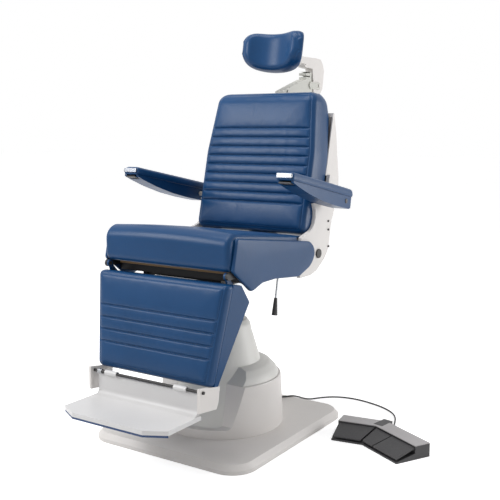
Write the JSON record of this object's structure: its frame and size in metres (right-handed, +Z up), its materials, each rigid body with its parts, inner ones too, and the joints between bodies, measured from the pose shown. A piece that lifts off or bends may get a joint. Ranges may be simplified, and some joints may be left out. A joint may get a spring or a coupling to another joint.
{
  "type": "ophthalmic examination chair",
  "caption": "Powered patient chair: round tower on a flat base, swivelling padded seat, reclining back with leg rest, flip-up arms, folding foot tray, headrest and foot control.",
  "frame": {"origin": "on the floor under the lifting column's axis", "axes": "+Z up, the patient faces -Y, +X to the patient's left"},
  "size_m": [1.1135, 1.3415, 1.4503],
  "materials": {
    "paint_offwhite": "satin powder coat",
    "paint_tower": "satin moulded cover",
    "paint_gusset": "satin paint",
    "paint_carrier": "satin paint",
    "steel_dark": "machined and zinc plated",
    "steel_bright": "ground bright",
    "chrome_trim": "polished",
    "vinyl_blue": "soft grained upholstery vinyl",
    "plywood": "plain plywood",
    "plastic_dark": "fine moulded grain",
    "strip_grey": "satin",
    "tray_top": "satin powder coat",
    "rubber_blue": "matt",
    "rubber_black": "matt"
  },
  "bodies": {
    "base": {"base_plate": "paint_offwhite", "levelling_feet": "rubber_black", "lower_housing": "paint_offwhite", "tower_cover": "paint_tower", "outer_column": "steel_dark", "lift_cylinder": "plastic_dark", "cover_screws": "steel_dark", "base_gland": "plastic_dark", "foot_cord": "rubber_black", "control_housing": "plastic_dark", "control_strips": "strip_grey", "control_gland": "plastic_dark"},
    "pedal_left_body": {"pedal_left": "plastic_dark"},
    "pedal_centre_body": {"pedal_centre": "plastic_dark"},
    "pedal_right_body": {"pedal_right": "plastic_dark"},
    "lift": {"inner_column": "steel_bright", "lift_ram": "steel_bright", "swivel_bearing": "steel_dark"},
    "seat": {"swivel_hub": "steel_dark", "seat_frame": "steel_dark", "seat_pan": "plywood", "seat_cushion": "vinyl_blue", "side_panel_left": "vinyl_blue", "side_panel_right": "vinyl_blue", "recline_drive": "plastic_dark", "leg_pins": "steel_dark"},
    "lock": {"lock_rod": "steel_bright", "lock_grip": "plastic_dark"},
    "back": {"hook_plate_left": "paint_offwhite", "hook_plate_right": "paint_offwhite", "torque_shaft": "steel_dark", "back_panel": "steel_dark", "back_cushion": "vinyl_blue", "back_shell": "paint_offwhite", "plate_screws": "steel_dark", "post_guide": "steel_dark"},
    "carrier_left": {"arm_carrier_left": "paint_carrier"},
    "carrier_right": {"arm_carrier_right": "paint_carrier"},
    "rod_left": {"level_rod_left": "steel_dark"},
    "rod_right": {"level_rod_right": "steel_dark"},
    "arm_left": {"arm_frame_left": "vinyl_blue", "arm_pad_left": "vinyl_blue", "arm_cap_left": "chrome_trim"},
    "arm_right": {"arm_frame_right": "vinyl_blue", "arm_pad_right": "vinyl_blue", "arm_cap_right": "chrome_trim"},
    "paddle_left": {"arm_paddle_left": "plastic_dark"},
    "paddle_right": {"arm_paddle_right": "plastic_dark"},
    "leg": {"leg_frame": "vinyl_blue", "leg_cushion": "vinyl_blue", "tray_brackets": "paint_offwhite", "tray_rod": "steel_dark", "tray_spring": "steel_dark"},
    "tray": {"foot_tray": "tray_top", "tray_bumper": "rubber_blue"},
    "head_post": {"head_post": "paint_gusset"},
    "head_link": {"head_link": "paint_offwhite"},
    "head_rest": {"head_shell": "paint_offwhite", "head_pad": "vinyl_blue"}
  },
  "joints": [
    {"name": "lift", "type": "slide", "parent": "base", "child": "lift", "axis": [0, 0, 1], "range_m": [-0.11, 0.15]},
    {"name": "swivel", "type": "hinge", "parent": "lift", "child": "seat", "pos_m": [0, 0, 0.56], "axis": [0, 0, 1], "range_deg": [-165, 165]},
    {"name": "recline", "type": "hinge", "parent": "seat", "child": "back", "pos_m": [0, 0.254, 0.633], "axis": [-1, 0, 0], "range_deg": [0, 70]},
    {"name": "leg_raise", "type": "hinge", "parent": "seat", "child": "leg", "pos_m": [0, -0.318, 0.631], "axis": [-1, 0, 0], "range_deg": [0, 70]},
    {"name": "tray_fold", "type": "hinge", "parent": "leg", "child": "tray", "pos_m": [0, -0.428, 0.283], "axis": [-1, 0, 0], "range_deg": [0, 90]},
    {"name": "carrier_left_level", "type": "hinge", "parent": "back", "child": "carrier_left", "pos_m": [0.25, 0.3368, 0.84435], "axis": [-1, 0, 0], "range_deg": [-70, 0]},
    {"name": "carrier_right_level", "type": "hinge", "parent": "back", "child": "carrier_right", "pos_m": [-0.25, 0.3368, 0.84435], "axis": [-1, 0, 0], "range_deg": [-70, 0]},
    {"name": "rod_left_swing", "type": "hinge", "parent": "seat", "child": "rod_left", "pos_m": [0.227, 0.27644, 0.60741], "axis": [-1, 0, 0], "range_deg": [0, 70]},
    {"name": "rod_right_swing", "type": "hinge", "parent": "seat", "child": "rod_right", "pos_m": [-0.227, 0.27644, 0.60741], "axis": [-1, 0, 0], "range_deg": [0, 70]},
    {"name": "arm_left_flip", "type": "hinge", "parent": "carrier_left", "child": "arm_left", "pos_m": [0.327, 0.27, 0.83], "axis": [-1, 0, 0], "range_deg": [0, 95]},
    {"name": "arm_right_flip", "type": "hinge", "parent": "carrier_right", "child": "arm_right", "pos_m": [-0.327, 0.27, 0.83], "axis": [-1, 0, 0], "range_deg": [0, 95]},
    {"name": "paddle_left_press", "type": "hinge", "parent": "arm_left", "child": "paddle_left", "pos_m": [0.327, -0.07824, 0.90839], "axis": [-1, 0, 0], "range_deg": [0, 4], "stiffness_Nm_per_rad": 0.6, "springref_deg": -5.73},
    {"name": "paddle_right_press", "type": "hinge", "parent": "arm_right", "child": "paddle_right", "pos_m": [-0.327, -0.07824, 0.90839], "axis": [-1, 0, 0], "range_deg": [0, 4], "stiffness_Nm_per_rad": 0.6, "springref_deg": -5.73},
    {"name": "head_height", "type": "slide", "parent": "back", "child": "head_post", "axis": [0, 0.2385, 0.9711], "range_m": [0, 0.1]},
    {"name": "head_reach", "type": "hinge", "parent": "head_post", "child": "head_link", "pos_m": [0, 0.672, 1.262], "axis": [-1, 0, 0], "range_deg": [-8, 40]},
    {"name": "head_tilt", "type": "hinge", "parent": "head_link", "child": "head_rest", "pos_m": [0, 0.572, 1.358], "axis": [-1, 0, 0], "range_deg": [-8, 40]},
    {"name": "lock_turn", "type": "hinge", "parent": "seat", "child": "lock", "pos_m": [0.17, 0.11, 0.6], "axis": [-1, 0, 0], "range_deg": [0, 25]},
    {"name": "pedal_left_press", "type": "hinge", "parent": "base", "child": "pedal_left_body", "pos_m": [0.45354, 0.174, 0.037], "axis": [0.9874, 0.1582, 0], "range_deg": [0, 3.5], "stiffness_Nm_per_rad": 8, "springref_deg": -4.58},
    {"name": "pedal_centre_press", "type": "hinge", "parent": "base", "child": "pedal_centre_body", "pos_m": [0.5709, 0.16448, 0.037], "axis": [0.8796, -0.4756, 0], "range_deg": [0, 3.5], "stiffness_Nm_per_rad": 8, "springref_deg": -4.58},
    {"name": "pedal_right_press", "type": "hinge", "parent": "base", "child": "pedal_right_body", "pos_m": [0.66942, 0.11121, 0.037], "axis": [0.8796, -0.4756, 0], "range_deg": [0, 3.5], "stiffness_Nm_per_rad": 8, "springref_deg": -4.58}
  ],
  "couplings": [
    {"joint": "leg_raise", "follows": "recline", "ratio": 1},
    {"joint": "carrier_left_level", "follows": "recline", "ratio": -1},
    {"joint": "carrier_right_level", "follows": "recline", "ratio": -1},
    {"joint": "rod_left_swing", "follows": "recline", "ratio": 1},
    {"joint": "rod_right_swing", "follows": "recline", "ratio": 1}
  ]
}
